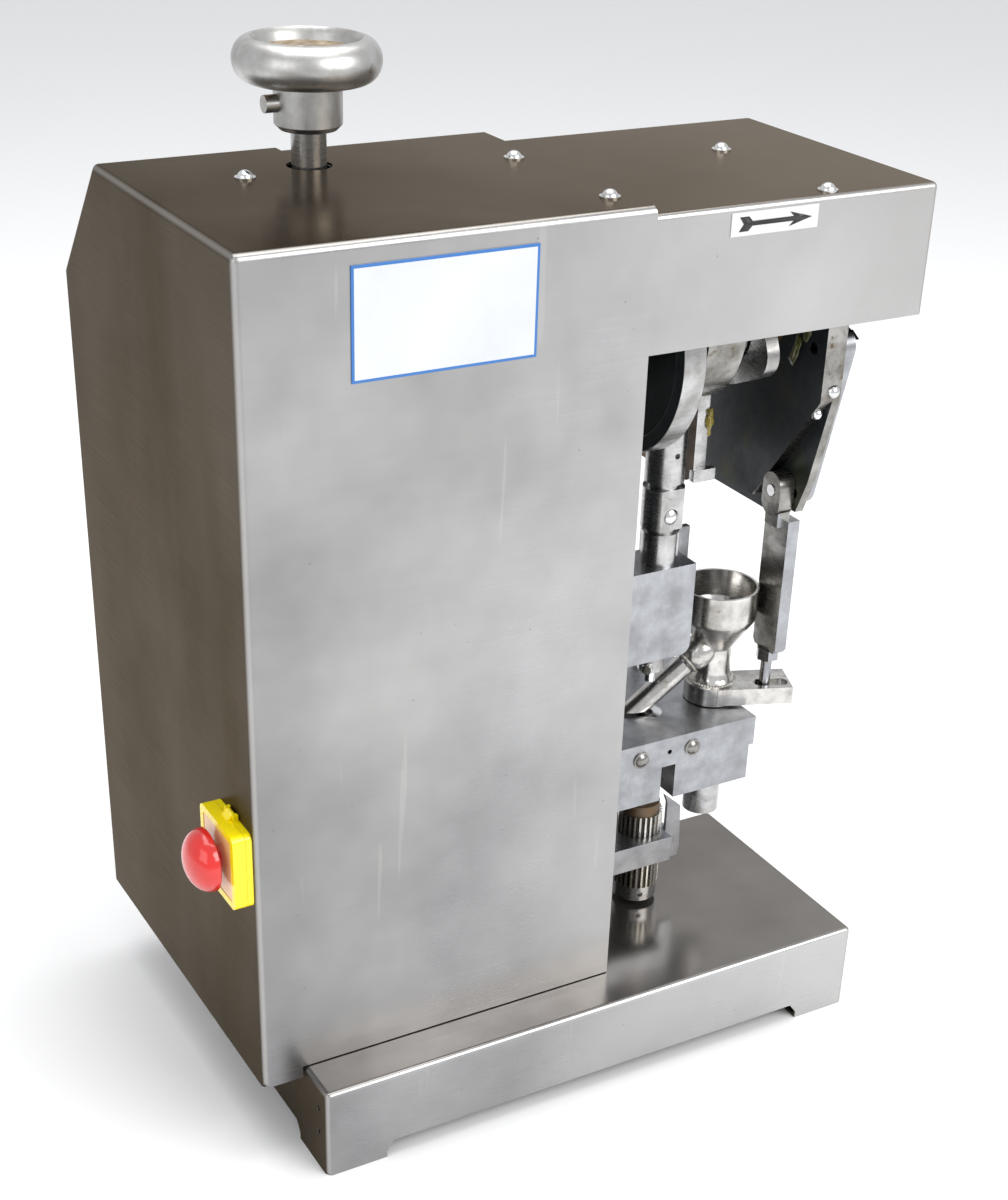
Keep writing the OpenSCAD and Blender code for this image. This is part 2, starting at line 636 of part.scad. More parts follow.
module estop_lid() color("#ffe600") {
    difference() {
        plate_yz(lid_x0, lid_x1) stop_outline(0, 6);
        plate_yz(lid_x0 + 3, lid_x1 + 1) stop_outline(3, 3.5);
        plate_yz(lid_x0 - 1, lid_x1 + 1) stop_outline(6, 2);
    }
    cyl_y(2.3, stop_y - 5.5, stop_y + 5.5, hinge_x, hinge_z);
    cyl_y(1.2, stop_y - 9, stop_y + 9, hinge_x, hinge_z);
    plate_xz(stop_y - 5.5, stop_y + 5.5) polygon([[lid_x1 - 3, stop_z + half - 2],
        [lid_x1 - 3, stop_z + half + 1], [hinge_x - 0.5, hinge_z + 2], [hinge_x - 0.5, hinge_z - 0.5],
        [lid_x1, stop_z + half + 0.5], [lid_x1, stop_z + half - 2]]);
}
// Tinted window set in the lid, with the button's guide hole.
module estop_window() color("#ff9d2e", 0.6) difference() {
    plate_yz(lid_x0 + 0.5, lid_x0 + 3) stop_outline(6, 2);
    cyl_x(10 + fit, lid_x0 - 1, lid_x0 + 5, stop_y, stop_z);
}
module estop_button() color("#e0322c") {
    depth = lid_x0 - 3.5 - stop_tip;
    translate([stop_tip, stop_y, stop_z]) rotate([0, 90, 0]) rotate_extrude($fn = 96) polygon(concat(
        [[0, 0]], [for (a = [10 : 10 : 80]) [25.5 * sin(a), 17 * (1 - cos(a))]],
        [[25.7, 17], [25.7, 20], [24, 21.2], [18, 21.6], [17, depth], [10, depth], [10, depth + 7.5],
         [0, depth + 7.5]]));
}

placed() base_plinth();
placed() frame_column();
placed() head_beam();
placed() top_plate();
placed() inner_bearing_plate();
placed() bearing_shoe();
placed() end_plate();
placed() end_plate_screws();
placed() shaft_bushes();
placed() rear_cover();
placed() cover_floor();
placed() head_cover();
placed() cover_screws();
placed() label_plate();
placed() arrow_plate();
placed() cable_gland();
placed() die_table();
placed() table_screws();
placed() die();
placed() spindle_bush();
placed() guide_block();
placed() oil_nipple();
placed() worm_brackets();
placed() motor_bracket();
placed() motor();
placed() drive_belt();
placed() estop_base();
placed() start_button();
placed() stop_button();
placed() estop_lid();
placed() estop_window();
placed() estop_button();
placed() main_shaft();
placed() eccentric();
placed() flywheel();
placed() worm_wheel();
placed() lift_cam();
placed() feed_cam();
placed() eccentric_strap();
placed() conrod();
placed() conrod_bolt();
placed() ram();
placed() punch_screw();
placed() upper_punch();
placed() worm_shaft();
placed() worm();
placed() handwheel();
placed() motor_pulley();
placed() feed_lever();
placed() feed_rod();
placed() feed_bolts();
placed() hopper();
placed() feed_tube();
placed() hopper_arm();
placed() hopper_spindle();
placed() lift_bar();
placed() lift_rod();
placed() lower_punch();
placed() upper_ring();
placed() lower_ring();
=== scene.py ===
"""Visual model of the single-punch tablet press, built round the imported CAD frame."""
import math

import bmesh
import bpy
from mathutils import Matrix, Vector, noise


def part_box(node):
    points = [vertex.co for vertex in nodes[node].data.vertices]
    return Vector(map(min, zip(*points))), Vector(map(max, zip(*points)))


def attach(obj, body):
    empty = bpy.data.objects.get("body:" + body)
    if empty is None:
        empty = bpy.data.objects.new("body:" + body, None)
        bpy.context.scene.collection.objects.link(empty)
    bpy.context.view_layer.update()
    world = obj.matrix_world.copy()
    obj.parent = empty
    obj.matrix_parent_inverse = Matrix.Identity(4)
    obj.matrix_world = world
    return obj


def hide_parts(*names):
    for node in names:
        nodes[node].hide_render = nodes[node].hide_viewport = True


MM = 0.001
DRAWING_SHIFT = 10.5    # mm that the part's frame lies to the right of the drawing's
NEAR = 1e-5             # m within which a point lies on a box's face
SAME_POINT = 1e-6       # m within which two mesh points are one

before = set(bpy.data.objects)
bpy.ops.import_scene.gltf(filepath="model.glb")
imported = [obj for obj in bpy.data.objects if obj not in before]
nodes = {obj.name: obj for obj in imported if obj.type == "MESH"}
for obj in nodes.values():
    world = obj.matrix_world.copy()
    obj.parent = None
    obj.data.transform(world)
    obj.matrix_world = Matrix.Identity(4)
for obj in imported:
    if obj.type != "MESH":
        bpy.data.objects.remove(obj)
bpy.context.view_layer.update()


# ---- material helpers --------------------------------------------------------


SOCKETS = {"color": "Base Color", "metal": "Metallic", "rough": "Roughness", "coat": "Coat Weight",
           "coat_rough": "Coat Roughness", "clear": "Transmission Weight", "ior": "IOR",
           "edge_tint": "Specular Tint"}


class Recipe:
    """A material's node tree, with short calls for the textures that the finishes share."""

    def __init__(self, name):
        self.material = bpy.data.materials.new(name)
        self.material.use_nodes = True
        self.tree = self.material.node_tree
        self.shader = self.tree.nodes["Principled BSDF"]
        self.place = self.tree.nodes.new("ShaderNodeTexCoord").outputs["Object"]

    def feed(self, socket, value):
        """Links an output to a socket, or sets a number, a vector or a colour without its alpha."""
        if isinstance(value, bpy.types.NodeSocket):
            self.tree.links.new(value, socket)
        elif socket.type == "RGBA":
            socket.default_value = (*value, 1)
        else:
            socket.default_value = value

    def set(self, **values):
        for key, value in values.items():
            self.feed(self.shader.inputs[SOCKETS[key]], value)
        return self

    def add(self, kind, inputs, **settings):
        """A new node with its settings, and its inputs fed by name or index."""
        node = self.tree.nodes.new(kind)
        for key, value in settings.items():
            setattr(node, key, value)
        for key, value in inputs.items():
            self.feed(node.inputs[key], value)
        return node

    def mapping(self, stretch, shift=0.0):
        inputs = {"Scale": stretch, "Location": (shift, shift, shift), "Vector": self.place}
        return self.add("ShaderNodeMapping", inputs).outputs[0]

    def noise(self, scale, detail=4.0, rough=0.55, stretch=(1, 1, 1), warp=0.0, shift=0.0):
        inputs = {"Vector": self.mapping(stretch, shift), "Scale": scale, "Detail": detail, "Roughness": rough,
                  "Distortion": warp}
        return self.add("ShaderNodeTexNoise", inputs).outputs["Fac"]

    def cells(self, scale):
        inputs = {"Vector": self.mapping((1, 1, 1)), "Scale": scale}
        return self.add("ShaderNodeTexVoronoi", inputs).outputs["Distance"]

    def remap(self, value, low, high, to_low=0.0, to_high=1.0):
        inputs = {0: value, 1: low, 2: high, 3: to_low, 4: to_high}
        return self.add("ShaderNodeMapRange", inputs).outputs[0]

    def math(self, operation, a, b=0.0):
        return self.add("ShaderNodeMath", {0: a, 1: b}, operation=operation).outputs[0]

    def mix(self, factor, a, b):
        return self.add("ShaderNodeMix", {0: factor, 6: a, 7: b}, data_type="RGBA").outputs[2]

    def axis(self, index):
        """The place along one of the object's axes, in metres."""
        return self.add("ShaderNodeSeparateXYZ", {0: self.place}).outputs[index]

    def facing(self, index):
        """The surface normal's own component along one of the object's axes."""
        normal = self.add("ShaderNodeNewGeometry", {}).outputs["Normal"]
        return self.add("ShaderNodeSeparateXYZ", {0: normal}).outputs[index]

    def bump(self, height, strength=0.2, distance=0.0005):
        inputs = {"Strength": strength, "Distance": distance, "Height": height}
        self.feed(self.shader.inputs["Normal"], self.add("ShaderNodeBump", inputs).outputs[0])
        return self


def metal(name, light, dark, rough=0.3, scratch=(1, 1, 40), spot=None, spots_from=0.62, bump=0.08,
          scale=45.0):
    """Machined metal: drifting tone, fine directional scratches, and spots of stain."""
    r = Recipe(name)
    drift = r.remap(r.noise(scale, 5.0, 0.6), 0.35, 0.68)
    lines = r.noise(60.0, 4.0, 0.7, stretch=scratch)
    color = r.mix(drift, dark, light)
    if spot:
        stains = r.remap(r.noise(scale * 1.7, 6.0, 0.7, shift=3.1), spots_from, spots_from + 0.12)
        color = r.mix(stains, color, spot)
    uneven = r.math("ADD", r.remap(lines, 0.3, 0.7, -0.09, 0.09),
                    r.remap(drift, 0.0, 1.0, rough + 0.06, rough - 0.05))
    r.set(color=color, metal=1.0, rough=uneven)
    return r.bump(lines, bump, 0.0003).material


def sheet_metal():
    """Satin steel sheet with painted light: a pale painted lit tone towards the operator, a painted warm dark
    reflection on its other sides and top, and a painted highlight along its folds.
    """
    r = Recipe("sheet")
    # where each kind of mark lies
    cloud = r.remap(r.noise(4.5, 4.0, 0.55), 0.3, 0.7)
    brush = r.noise(9.0, 4.0, 0.65, stretch=(1.2, 1.2, 60))
    smear = r.remap(r.noise(4.0, 5.0, 0.6, stretch=(1, 1, 0.3), warp=0.8, shift=2.3), 0.45, 0.70)
    pits = r.remap(r.cells(42.0), 0.0, 0.05, 1.0, 0.0)
    scratches = r.remap(r.noise(90.0, 2.0, 0.4, stretch=(1.0, 1.0, 0.07), warp=0.5, shift=5.2), 0.70, 0.74)
    # which way the surface faces, for the painted light of each side; a folded edge faces two ways at once and
    # gets a painted highlight
    side, depth, up = [r.math("MULTIPLY", r.facing(k), r.facing(k)) for k in range(3)]
    front = r.remap(r.math("MULTIPLY", r.facing(1), -1.0), 0.45, 0.85)
    top = r.remap(r.facing(2), 0.45, 0.85)
    pairs = r.math("ADD", r.math("MULTIPLY", side, depth), r.math("MULTIPLY", up, r.math("ADD", side, depth)))
    fold_highlight = r.remap(pairs, 0.06, 0.24)
    # painted light and shade: each side gets its own tone, with the lid a painted dark reflection that lightens
    # along x, and the base's top its own painted reflection
    painted_light_along_x = r.remap(r.math("ADD", r.axis(0), r.math("MULTIPLY", cloud, 0.16)), -0.20, 0.34)
    shaded_flank = r.mix(cloud, (0.046, 0.039, 0.031), (0.100, 0.087, 0.073))
    lid_reflection = r.mix(painted_light_along_x, (0.022, 0.017, 0.013), (0.21, 0.18, 0.15))
    deck_reflection = r.mix(cloud, (0.17, 0.16, 0.155), (0.31, 0.295, 0.28))
    lid_reflection = r.mix(r.math("LESS_THAN", r.axis(2), 0.1), lid_reflection, deck_reflection)
    # pale is the painted lit tone of the sides facing the operator, also painted lighter along x
    pale = r.mix(cloud, (0.215, 0.215, 0.22), (0.365, 0.365, 0.37))
    pale = r.mix(r.math("MULTIPLY", painted_light_along_x, 0.55), pale, (0.66, 0.655, 0.65))
    color = r.mix(front, r.mix(top, shaded_flank, lid_reflection), pale)
    # the marks over it: smears, light scratches on the front, dark pits, and last the painted highlight along the
    # folds
    color = r.mix(r.math("MULTIPLY", smear, 0.16), color, (0.34, 0.31, 0.27))
    color = r.mix(r.math("MULTIPLY", r.math("MULTIPLY", scratches, front), 0.10), color, (0.70, 0.69, 0.67))
    color = r.mix(r.math("MULTIPLY", pits, 0.5), color, (0.06, 0.045, 0.03))
    # painted highlight along the folds
    color = r.mix(r.math("MULTIPLY", fold_highlight, 0.42), color, (0.58, 0.57, 0.55))
    rough = r.math("ADD", r.remap(brush, 0.3, 0.7, 0.26, 0.36), r.remap(smear, 0.0, 1.0, -0.02, 0.08))
    rough = r.math("SUBTRACT", rough, r.math("MULTIPLY", top, 0.12))
    r.set(color=color, metal=0.92, rough=rough, edge_tint=(0.56, 0.51, 0.45))
    fine = r.math("SUBTRACT", r.noise(120.0, 3.0, 0.6), r.math("MULTIPLY", pits, 1.5))
    waves = r.math("MULTIPLY", r.noise(5.0, 1.0, 0.4), 4.0)
    return r.bump(r.math("ADD", r.math("MULTIPLY", fine, 0.10), waves), 0.10, 0.0012).material


def casting(name, dark, light, rough, metallic, grease):
    """Rough cast iron under a film of oil, with patches of old grease."""
    r = Recipe(name)
    cloud = r.remap(r.noise(22.0, 6.0, 0.65), 0.35, 0.7)
    patches = r.remap(r.noise(14.0, 4.0, 0.5, shift=1.7), 0.55, 0.7)
    color = r.mix(patches, r.mix(cloud, dark, light), grease)
    r.set(color=color, metal=metallic, rough=r.remap(cloud, 0.0, 1.0, rough + 0.1, rough - 0.12))
    return r.bump(r.noise(260.0, 5.0, 0.6), 0.25, 0.0006).material


def plastic(name, color, rough, coat, vary=0.85):
    """Moulded plastic or paint; vary is how much darker its darkest part is."""
    r = Recipe(name)
    cloud = r.remap(r.noise(60.0, 4.0, 0.6), 0.35, 0.7)
    shade = tuple(c * vary for c in color)
    r.set(color=r.mix(cloud, shade, color), rough=r.remap(cloud, 0.0, 1.0, rough + 0.08, rough), coat=coat,
          coat_rough=0.08)
    return r.bump(r.noise(900.0, 2.0), 0.03, 0.0002).material


MATERIALS = {
    "sheet": sheet_metal(),
    "steel": metal("steel", (0.54, 0.54, 0.545), (0.30, 0.295, 0.285), 0.26, spot=(0.14, 0.10, 0.06),
                   bump=0.03),
    "flat_steel": metal("flat_steel", (0.40, 0.41, 0.43), (0.28, 0.285, 0.30), 0.34, scratch=(30, 1, 1),
                        bump=0.05, spot=(0.20, 0.17, 0.13), spots_from=0.68),
    # dark_steel serves only as the painted shade in the serrated rings' tooth gaps
    "dark_steel": metal("dark_steel", (0.10, 0.09, 0.075), (0.03, 0.026, 0.02), 0.40, spot=(0.20, 0.10, 0.03),
                        spots_from=0.60),
    "bright_steel": metal("bright_steel", (0.82, 0.83, 0.84), (0.62, 0.62, 0.61), 0.16, bump=0.03),
    "hopper_metal": metal("hopper_metal", (0.70, 0.69, 0.67), (0.36, 0.345, 0.32), 0.22, scratch=(1, 1, 90),
                          spot=(0.20, 0.15, 0.10), spots_from=0.60, bump=0.06),
    "casting": casting("casting", (0.012, 0.015, 0.018), (0.035, 0.042, 0.045), 0.38, 0.5,
                       (0.05, 0.055, 0.025)),
    "brown_casting": casting("brown_casting", (0.045, 0.028, 0.016), (0.15, 0.10, 0.065), 0.45, 0.6,
                             (0.16, 0.12, 0.05)),
    "oily_steel": metal("oily_steel", (0.36, 0.355, 0.34), (0.17, 0.16, 0.145), 0.24, spot=(0.10, 0.07, 0.04),
                        spots_from=0.58, bump=0.06),
    "ring_steel": metal("ring_steel", (0.78, 0.77, 0.74), (0.50, 0.48, 0.43), 0.22, spot=(0.22, 0.13, 0.06),
                        spots_from=0.64, bump=0.04, scale=70.0),
    "wheel_alu": metal("wheel_alu", (0.60, 0.60, 0.59), (0.40, 0.39, 0.37), 0.36, scratch=(30, 30, 1),
                       spot=(0.22, 0.18, 0.13), spots_from=0.64, bump=0.05),
    "recess": metal("recess", (0.52, 0.43, 0.31), (0.22, 0.16, 0.10), 0.55, spot=(0.16, 0.11, 0.06),
                    spots_from=0.55, bump=0.4, scale=120.0),
    "rust": metal("rust", (0.24, 0.12, 0.045), (0.20, 0.17, 0.13), 0.55, spot=(0.20, 0.19, 0.18), bump=0.4,
                  scale=150.0),
    "weld": metal("weld", (0.60, 0.58, 0.55), (0.30, 0.28, 0.25), 0.30, spot=(0.14, 0.10, 0.07), bump=0.2,
                  scale=200.0),
    "bronze": metal("bronze", (0.55, 0.38, 0.17), (0.34, 0.22, 0.09), 0.34),
    "black_plastic": plastic("black_plastic", (0.02, 0.02, 0.021), 0.4, 0.1),
    "belt": plastic("belt", (0.014, 0.014, 0.014), 0.7, 0.0),
    "motor_paint": plastic("motor_paint", (0.03, 0.07, 0.17), 0.35, 0.3),
    "yellow": plastic("yellow", (1.0, 0.80, 0.0), 0.22, 0.5, 0.96),
    "red": plastic("red", (0.66, 0.016, 0.012), 0.14, 0.7, 0.94),
    "old_grease": plastic("old_grease", (0.10, 0.10, 0.025), 0.3, 0.4, 0.4),
    "grease": plastic("grease", (0.42, 0.33, 0.06), 0.22, 0.6, 0.55),
    "green": plastic("green", (0.02, 0.33, 0.07), 0.2, 0.5),
}


def dress(obj, material):
    """Gives an object one finish, from the table by name or as a material of its own, and smooth shading."""
    obj.data.materials.append(MATERIALS[material] if isinstance(material, str) else material)
    for polygon in obj.data.polygons:
        polygon.use_smooth = True


def finish_node(name, material, bevel, segments=2):
    """Gives a CAD node its finish and rounds its edges by modifiers only."""
    obj = nodes[name]
    obj.data.materials.clear()
    dress(obj, material)
    round_edges(obj, bevel, segments)


def round_edges(obj, bevel, segments=2):
    """Rounds sharp edges to bevel mm and keeps flat faces flat."""
    weld = obj.modifiers.new("weld", "WELD")
    weld.merge_threshold = SAME_POINT
    if bevel:
        rounding = obj.modifiers.new("rounded_edges", "BEVEL")
        rounding.width = bevel * MM
        rounding.segments = segments
        rounding.limit_method = "ANGLE"
        rounding.angle_limit = math.radians(32)
        rounding.use_clamp_overlap = True
        rounding.harden_normals = False
    flat = obj.modifiers.new("flat_faces", "WEIGHTED_NORMAL")
    flat.keep_sharp = True


NODE_FINISH = {    # finish, bevel in mm: nodes
    ("sheet", 0.3): ["cover_floor"],
    ("casting", 2.0): ["frame_column"],
    ("casting", 1.5): ["head_beam"],
    ("casting", 1.2): ["end_plate", "worm_brackets", "flywheel"],
    ("casting", 0.8): ["motor_bracket"],
    ("brown_casting", 1.2): ["inner_bearing_plate"],
    ("steel", 0.8): ["bearing_shoe"],
    ("steel", 0.6): ["main_shaft", "eccentric", "lift_cam", "feed_cam", "conrod", "ram", "worm_shaft",
                     "hopper_spindle", "lift_rod", "lower_punch"],
    ("steel", 0.5): ["motor_pulley"],
    ("steel", 0.4): ["top_plate"],
    ("steel", 0): ["worm"],
    ("flat_steel", 0.9): ["die_table", "lift_bar"],
    ("flat_steel", 0.8): ["guide_block"],
    ("bright_steel", 0.5): ["feed_bolts"],
    ("bright_steel", 0.4): ["punch_screw"],
    ("bright_steel", 0.3): ["die", "conrod_bolt", "upper_punch"],
    ("bright_steel", 0.2): ["end_plate_screws", "cover_screws"],
    ("oily_steel", 1.0): ["eccentric_strap"],
    ("oily_steel", 0.8): ["feed_rod"],
    ("oily_steel", 0.7): ["feed_lever"],
    ("oily_steel", 0.3): ["table_screws"],
    ("hopper_metal", 0.9): ["hopper_arm"],
    ("hopper_metal", 0.5): ["hopper"],
    ("hopper_metal", 0.4): ["feed_tube"],
    ("hopper_metal", 0.3): ["oil_nipple"],
    ("wheel_alu", 0.6): ["handwheel"],
    ("bronze", 0.5): ["worm_wheel"],
    ("bronze", 0.3): ["shaft_bushes", "spindle_bush"],
    ("motor_paint", 1.0): ["motor"],
    ("belt", 0.5): ["drive_belt"],
    ("black_plastic", 0.4): ["cable_gland"],
    ("yellow", 0.8): ["estop_base"],
    ("yellow", 1.0): ["estop_lid"],
    ("green", 0.5): ["start_button"],
    ("red", 0.5): ["stop_button", "estop_button"],
}
for (node_finish, node_bevel), names in NODE_FINISH.items():
    for node_name in names:
        finish_node(node_name, node_finish, node_bevel, 3 if node_name == "estop_lid" else 2)


def paint(name, material, chosen):
    """A second finish on the faces that chosen(centre, normal, low, high) picks.

    low and high are the corners of the node's box, in metres like the centre.
    """
    obj = nodes[name]
    obj.data.materials.append(MATERIALS[material])
    index = len(obj.data.materials) - 1
    low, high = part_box(name)
    for polygon in obj.data.polygons:
        centre = obj.matrix_world @ polygon.center
        normal = obj.matrix_world.to_3x3() @ polygon.normal
        if chosen(centre, normal, low, high):
            polygon.material_index = index


# the faces that are ground, worn, cast rough or oily beside the rest of their part
paint("flywheel", "steel", lambda c, n, low, high: abs(n.x) < 0.5 and c.z < high.z)
paint("end_plate", "oily_steel", lambda c, n, low, high: n.y < -0.6)
paint("feed_rod", "flat_steel", lambda c, n, low, high: n.y < -0.6 and c.z < high.z - 40 * MM)
paint("feed_lever", "flat_steel", lambda c, n, low, high: n.y < -0.6)
paint("inner_bearing_plate", "steel", lambda c, n, low, high: n.y < -0.5)
paint("handwheel", "recess", lambda c, n, low, high: n.z > 0.8 and c.z < high.z - 6 * MM)


def tinted_window():
    """Amber clear plastic."""
    r = Recipe("tinted_window")
    r.set(color=(0.95, 0.58, 0.26), rough=0.16, clear=0.15, ior=1.45, coat=0.5)
    return r.bump(r.noise(200.0, 2.0), 0.03, 0.0003).material


def label():
    """White label with a blue border, left blank."""
    border_width = 2.2 * MM
    low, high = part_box("label_plate")
    centre, half = (low + high) / 2, (high - low) / 2
    r = Recipe("label")

    def past_border(index):
        from_centre = r.math("ABSOLUTE", r.math("SUBTRACT", r.axis(index), centre[index]))
        return r.math("SUBTRACT", from_centre, half[index] - border_width)

    border = r.math("GREATER_THAN", r.math("MAXIMUM", past_border(0), past_border(2)), 0.0)
    cloud = r.remap(r.noise(14.0, 3.0), 0.3, 0.7)
    white = r.mix(cloud, (0.56, 0.58, 0.62), (0.64, 0.66, 0.69))
    r.set(color=r.mix(border, white, (0.02, 0.14, 0.42)), rough=0.28, coat=0.3)
    return r.material


finish_node("estop_window", tinted_window(), 0.3)
finish_node("label_plate", label(), 0.2)
finish_node("arrow_plate", plastic("arrow_white", (0.64, 0.64, 0.64), 0.3, 0.3, 0.96), 0.15)


# ---- pieces ------------------------------------------------------------------


def piece(name, mesh_builder, body, material):
    """A new object whose mesh_builder(bm) makes its mesh, riding on a body."""
    mesh = bpy.data.meshes.new(name)
    bm = bmesh.new()
    mesh_builder(bm)
    bmesh.ops.recalc_face_normals(bm, faces=bm.faces)
    bm.to_mesh(mesh)
    bm.free()
    obj = bpy.data.objects.new(name, mesh)
    bpy.context.scene.collection.objects.link(obj)
    dress(obj, material)
    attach(obj, body)
    return obj


def extrude_outline(bm, points, offset):
    """A closed outline of 3-D points made into a solid by moving a copy along offset."""
    first = [bm.verts.new(p) for p in points]
    second = [bm.verts.new(Vector(p) + Vector(offset)) for p in points]
    bm.faces.new(first)
    bm.faces.new(list(reversed(second)))
    for i in range(len(points)):
        j = (i + 1) % len(points)
        bm.faces.new((first[j], first[i], second[i], second[j]))


def arrow(bm):
    """Arrow to the right with a slim shaft, a narrow head and a feathered tail."""
    low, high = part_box("arrow_plate")
    mid_z, half_z = (low.z + high.z) / 2, (high.z - low.z) / 2
    start, end = low.x + 7 * MM, high.x - 6 * MM
    head, tail, notch, thick = 17 * MM, 12 * MM, 4 * MM, 0.25 * MM
    shaft, barb = half_z * 0.20, half_z * 0.62
    half = [(start + notch, 0), (start, barb), (start + tail * 0.7, barb), (start + tail, shaft),
            (end - head, shaft), (end - head - notch, barb), (end, 0)]
    outline = half + [(x, -z) for x, z in reversed(half[1:-1])]
    extrude_outline(bm, [(x, low.y, mid_z + z) for x, z in outline], (0, -thick, 0))


piece("arrow_mark", arrow, "frame", "black_plastic")


def folded_sheet(name, radius, folds):
    """A node's own sheet with its long outer folds bent to a radius.

    folds(a, b) picks an edge by both its ends, with a and b an end's distance from the box's low and high corner.
    """
    source = nodes[name]
    low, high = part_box(name)

    def is_fold(edge):
        return (edge.calc_length() > 20 * MM and len(edge.link_faces) == 2
                and edge.calc_face_angle(0) > 0.4 and max(v.co.z for v in edge.verts) > low.z + 10 * MM
                and all(folds(v.co - low, high - v.co) for v in edge.verts))

    def build(bm):
        bm.from_mesh(source.data)
        bm.transform(source.matrix_world)
        bmesh.ops.remove_doubles(bm, verts=bm.verts, dist=SAME_POINT)
        bmesh.ops.dissolve_limit(bm, angle_limit=math.radians(1), use_dissolve_boundaries=False,
                                 verts=bm.verts, edges=bm.edges)
        bmesh.ops.bevel(bm, geom=[e for e in bm.edges if is_fold(e)], offset=radius * MM, offset_type="OFFSET",
                        segments=6, profile=0.5, affect="EDGES", clamp_overlap=False)

    cover = piece(name + "_folded", build, "frame", "sheet")
    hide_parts(name)
    round_edges(cover, 0.35)


TOOTH = [(0.0, 19.4), (0.14, 21.1), (0.50, 21.1), (0.64, 19.4)]    # part of the pitch, radius in mm
STEEL, SHADED_GAP, HUB = 0, 1, 2    # a ring's materials, in the order of its material slots: its steel, painted shade in the gaps between teeth, and rust on the hub


def serrated_ring(name, teeth, hub_radius, hub_height):
    """A ring turned by hand: coarse teeth with painted shade on the floors and flanks of the gaps between them,
    under a plain hub.
    """
    low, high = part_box(name)
    centre = (low + high) / 2
    shoulder = high.z - hub_height * MM
    turns = [((k + part) * 2 * math.pi / teeth, radius) for k in range(teeth) for part, radius in TOOTH]

    def level(bm, z, hub=None):
        return [bm.verts.new((centre.x + (hub or radius) * MM * math.cos(angle),
                              centre.y + (hub or radius) * MM * math.sin(angle), z)) for angle, radius in turns]

    def build(bm):
        levels = [level(bm, low.z), level(bm, shoulder), level(bm, shoulder, hub_radius),
                  level(bm, high.z, hub_radius)]
        for band, (lower, upper) in enumerate(zip(levels, levels[1:])):
            for k in range(len(turns)):
                face = bm.faces.new((lower[k - 1], lower[k], upper[k], upper[k - 1]))
                in_shaded_gap = band == 0 and k % len(TOOTH) in (0, 3)
                face.material_index = SHADED_GAP if in_shaded_gap else HUB if band == 2 else STEEL
        bm.faces.new(levels[0])
        bm.faces.new(levels[-1]).material_index = HUB

    ring = piece(name + "_teeth", build, name, "ring_steel")
    # the dark steel here is painted shade for the gaps between the teeth
    ring.data.materials.append(MATERIALS["dark_steel"])
    ring.data.materials.append(MATERIALS["rust"])
    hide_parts(name)
    round_edges(ring, 0.15)


serrated_ring("upper_ring", 26, 18, 9)
serrated_ring("lower_ring", 26, 14, 3)
folded_sheet("rear_cover", 6.0, lambda a, b: (a.z > 20 * MM and a.x < NEAR) or (a.y < NEAR and b.z < NEAR)
             or (a.x < NEAR and (a.y < NEAR or b.y < NEAR)))
folded_sheet("head_cover", 4.6, lambda a, b: b.x < NEAR and (a.y < NEAR or b.y < NEAR or b.z < NEAR)
             or b.z < NEAR and (a.y < NEAR or b.y < NEAR))
folded_sheet("base_plinth", 5.0, lambda a, b: b.z < NEAR
             or (a.x < NEAR or b.x < NEAR) and (a.y < NEAR or b.y < NEAR))


def blob(centre, radii, bumps):
    """A lumpy rounded deposit of grease; radii in mm."""
    def build(bm):
        bmesh.ops.create_icosphere(bm, subdivisions=3, radius=1.0)
        for vert in bm.verts:
            swell = 1 + bumps * noise.noise(vert.co * 1.7 + centre * 120.0)
            vert.co = centre + Vector([v * r * MM * swell for v, r in zip(vert.co, radii)])
    return build


def seam_bead(point_at, radius, count):
    """A closed row of overlapping weld ripples; point_at(angle) is a point of it."""
    def build(bm):
        for k in range(count):
            ripple = bmesh.ops.create_icosphere(bm, subdivisions=2, radius=radius)
            bmesh.ops.translate(bm, vec=point_at(2 * math.pi * k / count), verts=ripple["verts"])
    return build


def at(x, y, z):
    """A point of the drawing, in millimetres, placed in the part's frame."""
    return Vector((x - DRAWING_SHIFT, y, z)) * MM


# the feed tube's own axes: along it from its mouth, to its side, and over it
mouth, elbow = at(146, -56, 284), at(212, -61.5, 334)
along = (elbow - mouth).normalized()
side = along.cross(Vector((0, 0, 1))).normalized()
over = side.cross(along)


def tube_ring(station, radius):
    """Points round the feed tube at a station along it, in mm."""
    centre = mouth + along * station * MM
    return lambda angle: centre + (side * math.cos(angle) + over * math.sin(angle)) * radius * MM


def neck_ring(angle):
    """Points round the foot of the hopper's neck."""
    return at(223, -61.5, 300) + Vector((math.cos(angle), math.sin(angle), 0)) * 20.5 * MM


FLARE = [(58, 10.3), (61, 10.6), (64, 11.4), (67, 12.7), (70, 14.0), (73, 14.9), (77, 15.2), (81, 14.9),
         (85, 13.6), (88, 11.0), (90, 7.0)]    # station along the tube, radius
FLARE_SIDES = 40


def flared_elbow(bm):
    """The feed tube's upper end, widening into the hopper's neck."""
    rings = []
    for station, radius in FLARE:
        ring = tube_ring(station, radius)
        rings.append([bm.verts.new(ring(2 * math.pi * k / FLARE_SIDES)) for k in range(FLARE_SIDES)])
    for lower, upper in zip(rings, rings[1:]):
        for k in range(FLARE_SIDES):
            bm.faces.new((lower[k], lower[k - 1], upper[k - 1], upper[k]))
    bm.faces.new(rings[0])
    bm.faces.new(rings[-1])


piece("tube_elbow", flared_elbow, "hopper", "hopper_metal")
piece("tube_weld", seam_bead(tube_ring(61.5, 10.0), 2.0 * MM, 34), "hopper", "weld")
piece("neck_weld", seam_bead(neck_ring, 1.8 * MM, 48), "hopper", "weld")

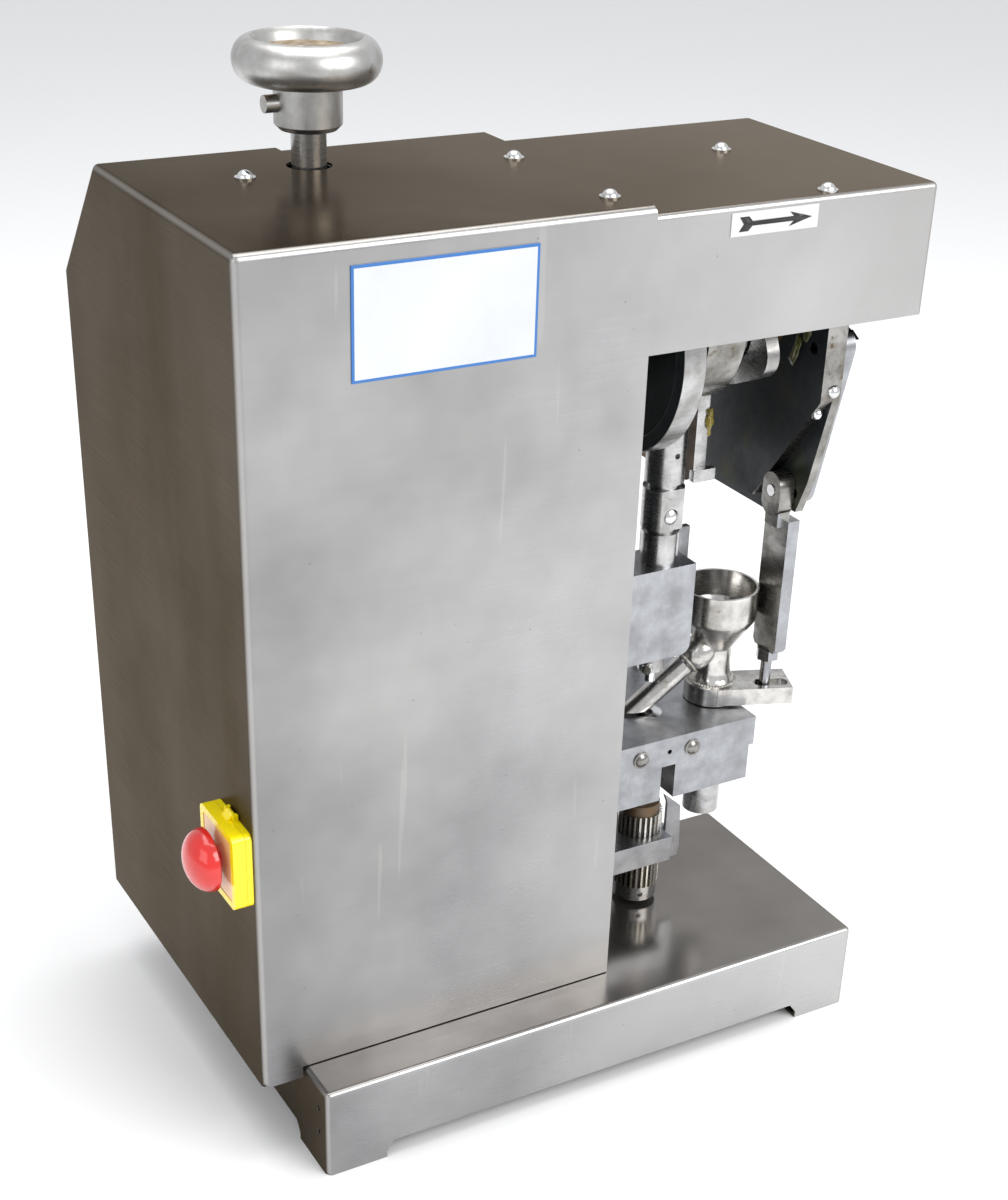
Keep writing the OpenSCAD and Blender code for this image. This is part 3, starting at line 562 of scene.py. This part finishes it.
PLATE_GREASE = [((202, -53.5, 543), (3.5, 3.5, 7)), ((203, -50, 534), (3, 4, 5)), ((202, -54, 551), (2.5, 3, 4))]
END_PLATE_GREASE = [((249.5, -95, 618), (1.5, 9, 16)), ((249.5, -40, 640), (1.5, 14, 9)),
                    ((249.5, -110, 634), (1.5, 7, 8))]
for k, (spot, size) in enumerate(PLATE_GREASE):
    piece("plate_grease_%d" % k, blob(at(*spot), size, 0.5), "frame", "grease")
for k, (spot, size) in enumerate(END_PLATE_GREASE):
    piece("end_plate_grease_%d" % k, blob(at(*spot), size, 0.6), "frame", "old_grease")


# ---- stage, camera and light ---------------------------------------------------

LIT_POINT = Vector((0, 0, 0.4))
CAMERA_PLACE = Vector((-0.752, -1.345, 1.1103))
CAMERA_RIGHT = Vector((0.8714, -0.4897, 0.0295))
CAMERA_AHEAD = Vector((0.4365, 0.7466, -0.502))


def build_stage():
    """A wide pale floor under an even pale sky."""
    reach = 40
    mesh = bpy.data.meshes.new("floor")
    mesh.from_pydata([(-reach, -reach, 0), (reach, -reach, 0), (reach, reach, 0), (-reach, reach, 0)], [],
                     [(0, 1, 2, 3)])
    floor = bpy.data.objects.new("floor", mesh)
    bpy.context.scene.collection.objects.link(floor)
    r = Recipe("floor").set(color=(0.94, 0.94, 0.94), rough=0.7)
    floor.data.materials.append(r.material)
    world = bpy.data.worlds.new("studio")
    world.use_nodes = True
    background = world.node_tree.nodes["Background"]
    background.inputs["Color"].default_value = (0.93, 0.94, 0.96, 1)
    background.inputs["Strength"].default_value = 0.78
    bpy.context.scene.world = world
    bpy.context.scene.view_settings.view_transform = "Standard"


def area_light(name, place, size, power):
    """A soft light turned towards the middle of the press."""
    data = bpy.data.lights.new(name, "AREA")
    data.shape = "RECTANGLE"
    data.size, data.size_y = size
    data.energy = power
    light = bpy.data.objects.new(name, data)
    light.location = place
    light.rotation_euler = (LIT_POINT - Vector(place)).to_track_quat("-Z", "Y").to_euler()
    bpy.context.scene.collection.objects.link(light)


def build_camera():
    """Camera at the operator's left front corner, looking down at the press."""
    data = bpy.data.cameras.new("camera")
    data.sensor_fit = "VERTICAL"
    data.sensor_height = 36
    data.lens = 59.07
    data.shift_y = 0.15
    camera = bpy.data.objects.new("camera", data)
    right, ahead = CAMERA_RIGHT.normalized(), CAMERA_AHEAD.normalized()
    up = right.cross(ahead).normalized()
    turn = Matrix((right, up, -ahead)).transposed().to_4x4()
    camera.matrix_world = Matrix.Translation(CAMERA_PLACE) @ turn
    bpy.context.scene.collection.objects.link(camera)
    bpy.context.scene.camera = camera


build_stage()
build_camera()
area_light("key", (1.2, -2.6, 2.2), (2.4, 1.8), 70)
area_light("fill", (-2.6, -1.2, 1.6), (2.0, 2.0), 16)
area_light("top", (0.2, 0.4, 3.2), (2.6, 2.6), 60)
